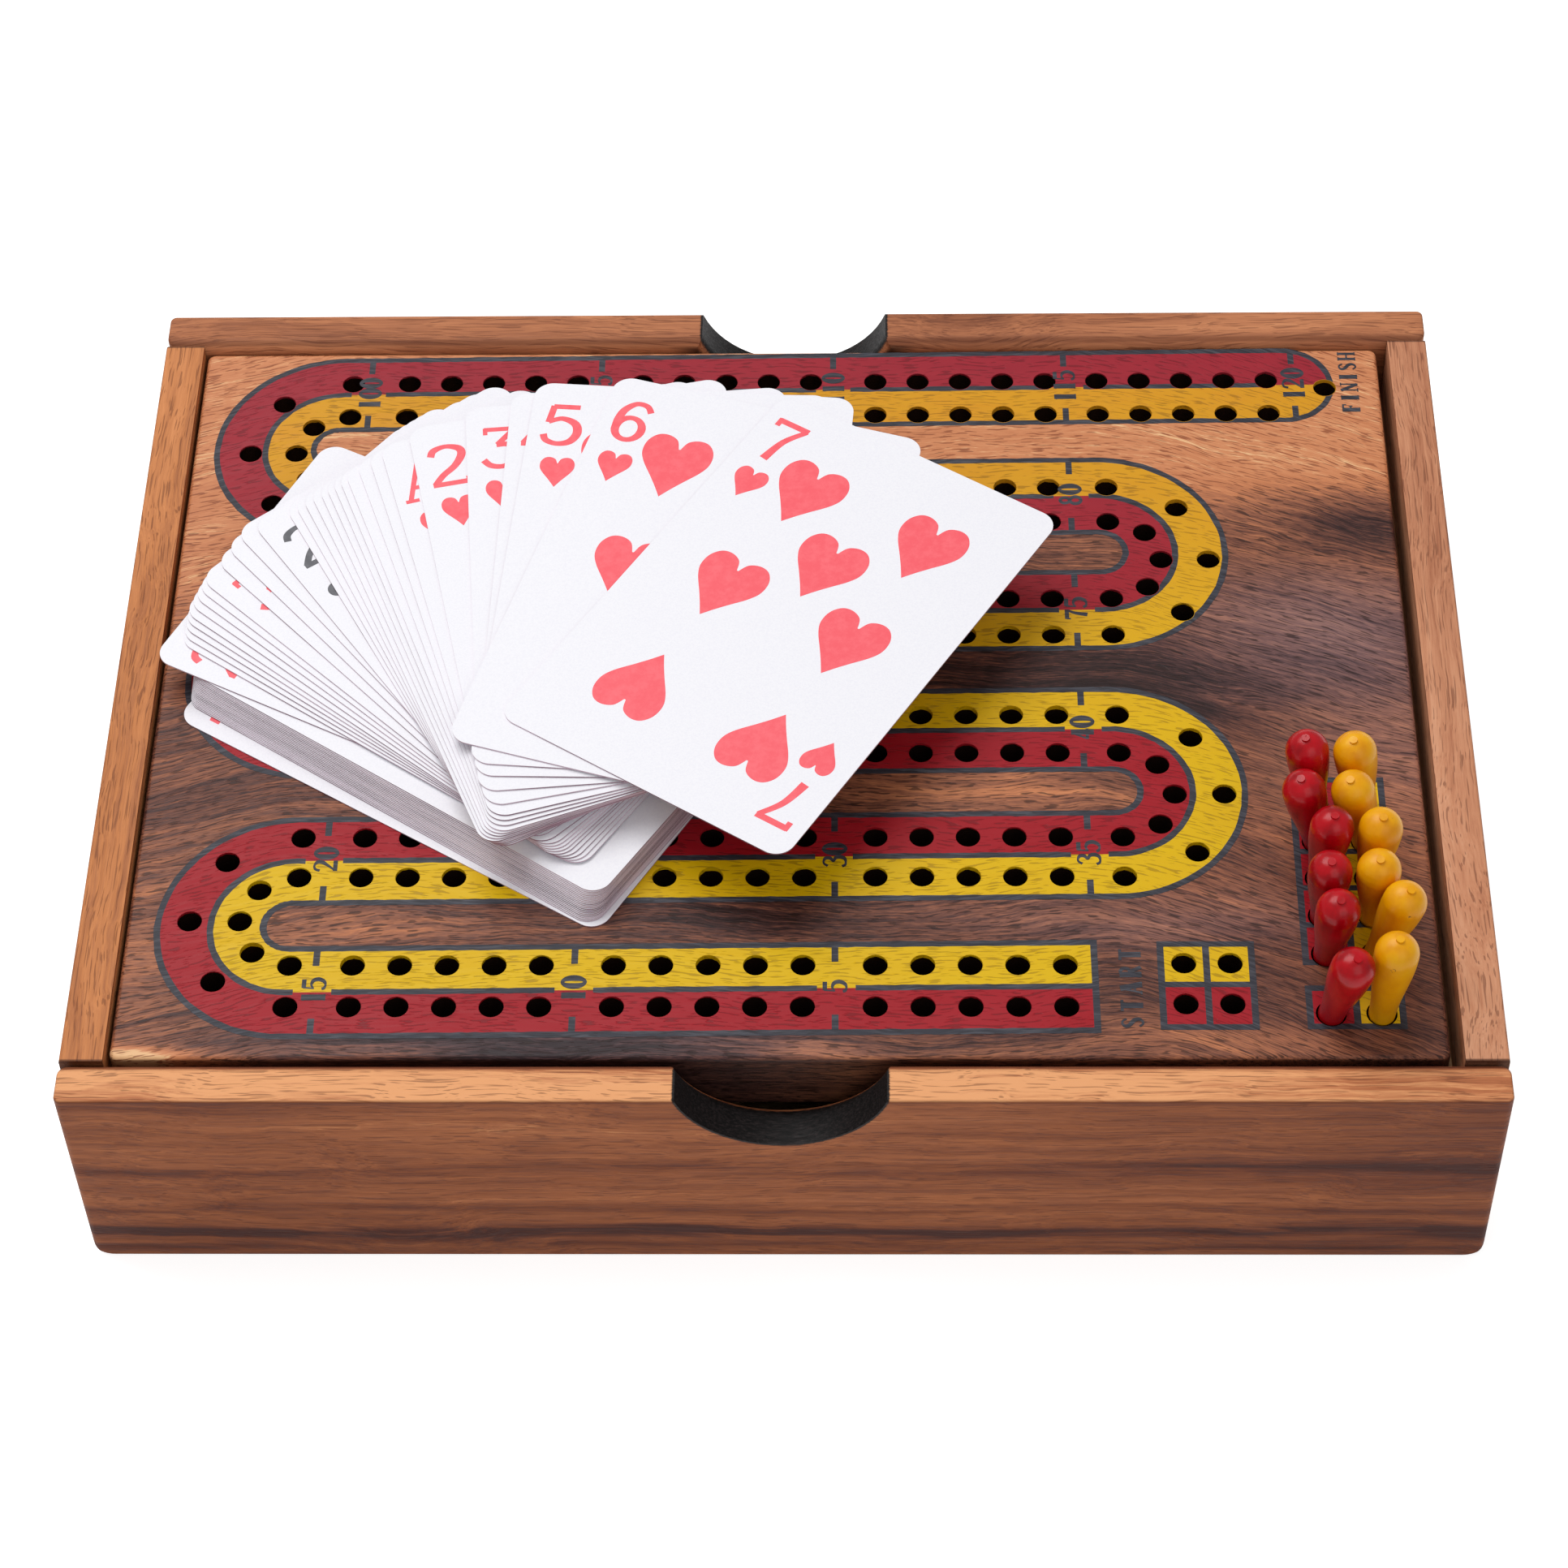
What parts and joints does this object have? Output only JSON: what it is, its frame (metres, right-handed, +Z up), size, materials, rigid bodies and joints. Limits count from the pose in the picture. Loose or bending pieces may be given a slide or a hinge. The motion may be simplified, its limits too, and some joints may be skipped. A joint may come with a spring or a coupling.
{
  "type": "cribbage box with lift-out board",
  "caption": "Wooden cribbage box whose painted peg board lifts out of the rim by finger notches, with turned pegs and a fanned deck of cards.",
  "frame": {"origin": "middle of the underside of the box, on the surface it stands on", "axes": "+X along the long side, +Y towards the back wall, +Z up"},
  "size_m": [0.24, 0.182, 0.067],
  "materials": {
    "wall_wood": "satin oiled hardwood",
    "board_wood": "satin oiled hardwood with painted lanes",
    "plywood": "thin plywood",
    "dowel_wood": "plain beech",
    "red_peg_paint": "glossy red paint on turned wood",
    "yellow_peg_paint": "satin yellow paint on turned wood",
    "card_stock": "smooth coated card"
  },
  "bodies": {
    "box": {"front_wall": "wall_wood", "back_wall": "wall_wood", "left_wall": "wall_wood", "right_wall": "wall_wood", "bottom_panel": "plywood", "left_ledge": "wall_wood", "right_ledge": "wall_wood", "left_divider": "wall_wood", "right_divider": "wall_wood", "corner_dowels": "dowel_wood"},
    "board": {"cribbage_board": "board_wood"},
    "card_deck": {"card_stack": "card_stock", "lower_fan": "card_stock", "upper_fan": "card_stock", "ace_of_hearts": "card_stock", "two_of_hearts": "card_stock", "three_of_hearts": "card_stock", "four_of_hearts": "card_stock", "five_of_hearts": "card_stock", "six_of_hearts": "card_stock"},
    "top_card": {"seven_of_hearts": "card_stock"},
    "red_peg_1": {"red_peg_1": "red_peg_paint"},
    "red_peg_2": {"red_peg_2": "red_peg_paint"},
    "red_peg_3": {"red_peg_3": "red_peg_paint"},
    "red_peg_4": {"red_peg_4": "red_peg_paint"},
    "red_peg_5": {"red_peg_5": "red_peg_paint"},
    "red_peg_6": {"red_peg_6": "red_peg_paint"},
    "yellow_peg_1": {"yellow_peg_1": "yellow_peg_paint"},
    "yellow_peg_2": {"yellow_peg_2": "yellow_peg_paint"},
    "yellow_peg_3": {"yellow_peg_3": "yellow_peg_paint"},
    "yellow_peg_4": {"yellow_peg_4": "yellow_peg_paint"},
    "yellow_peg_5": {"yellow_peg_5": "yellow_peg_paint"},
    "yellow_peg_6": {"yellow_peg_6": "yellow_peg_paint"}
  },
  "joints": [
    {"name": "board_lift", "type": "slide", "parent": "box", "child": "board", "axis": [0, 0, 1], "range_m": [0, 0.06]},
    {"name": "deck_lift", "type": "slide", "parent": "board", "child": "card_deck", "axis": [0, 0, 1], "range_m": [0, 0.04]},
    {"name": "top_card_lift", "type": "slide", "parent": "card_deck", "child": "top_card", "axis": [0, 0, 1], "range_m": [0, 0.03]},
    {"name": "red_peg_1_pull", "type": "slide", "parent": "board", "child": "red_peg_1", "axis": [-0.1478, -0.1045, 0.9835], "range_m": [0, 0.012]},
    {"name": "red_peg_2_pull", "type": "slide", "parent": "board", "child": "red_peg_2", "axis": [-0.2079, -0.1305, 0.9694], "range_m": [0, 0.012]},
    {"name": "red_peg_3_pull", "type": "slide", "parent": "board", "child": "red_peg_3", "axis": [0.0262, -0.1392, 0.9899], "range_m": [0, 0.012]},
    {"name": "red_peg_4_pull", "type": "slide", "parent": "board", "child": "red_peg_4", "axis": [-0.0262, -0.2079, 0.9778], "range_m": [0, 0.012]},
    {"name": "red_peg_5_pull", "type": "slide", "parent": "board", "child": "red_peg_5", "axis": [0.0175, -0.2079, 0.978], "range_m": [0, 0.012]},
    {"name": "red_peg_6_pull", "type": "slide", "parent": "board", "child": "red_peg_6", "axis": [0.1045, -0.1908, 0.976], "range_m": [0, 0.012]},
    {"name": "yellow_peg_1_pull", "type": "slide", "parent": "board", "child": "yellow_peg_1", "axis": [-0.165, -0.1219, 0.9787], "range_m": [0, 0.012]},
    {"name": "yellow_peg_2_pull", "type": "slide", "parent": "board", "child": "yellow_peg_2", "axis": [-0.2164, -0.1392, 0.9663], "range_m": [0, 0.012]},
    {"name": "yellow_peg_3_pull", "type": "slide", "parent": "board", "child": "yellow_peg_3", "axis": [0.0087, -0.1564, 0.9876], "range_m": [0, 0.012]},
    {"name": "yellow_peg_4_pull", "type": "slide", "parent": "board", "child": "yellow_peg_4", "axis": [-0.0436, -0.1908, 0.9807], "range_m": [0, 0.012]},
    {"name": "yellow_peg_5_pull", "type": "slide", "parent": "board", "child": "yellow_peg_5", "axis": [0.165, -0.1132, 0.9798], "range_m": [0, 0.012]},
    {"name": "yellow_peg_6_pull", "type": "slide", "parent": "board", "child": "yellow_peg_6", "axis": [0.0436, -0.0262, 0.9987], "range_m": [0, 0.012]}
  ]
}
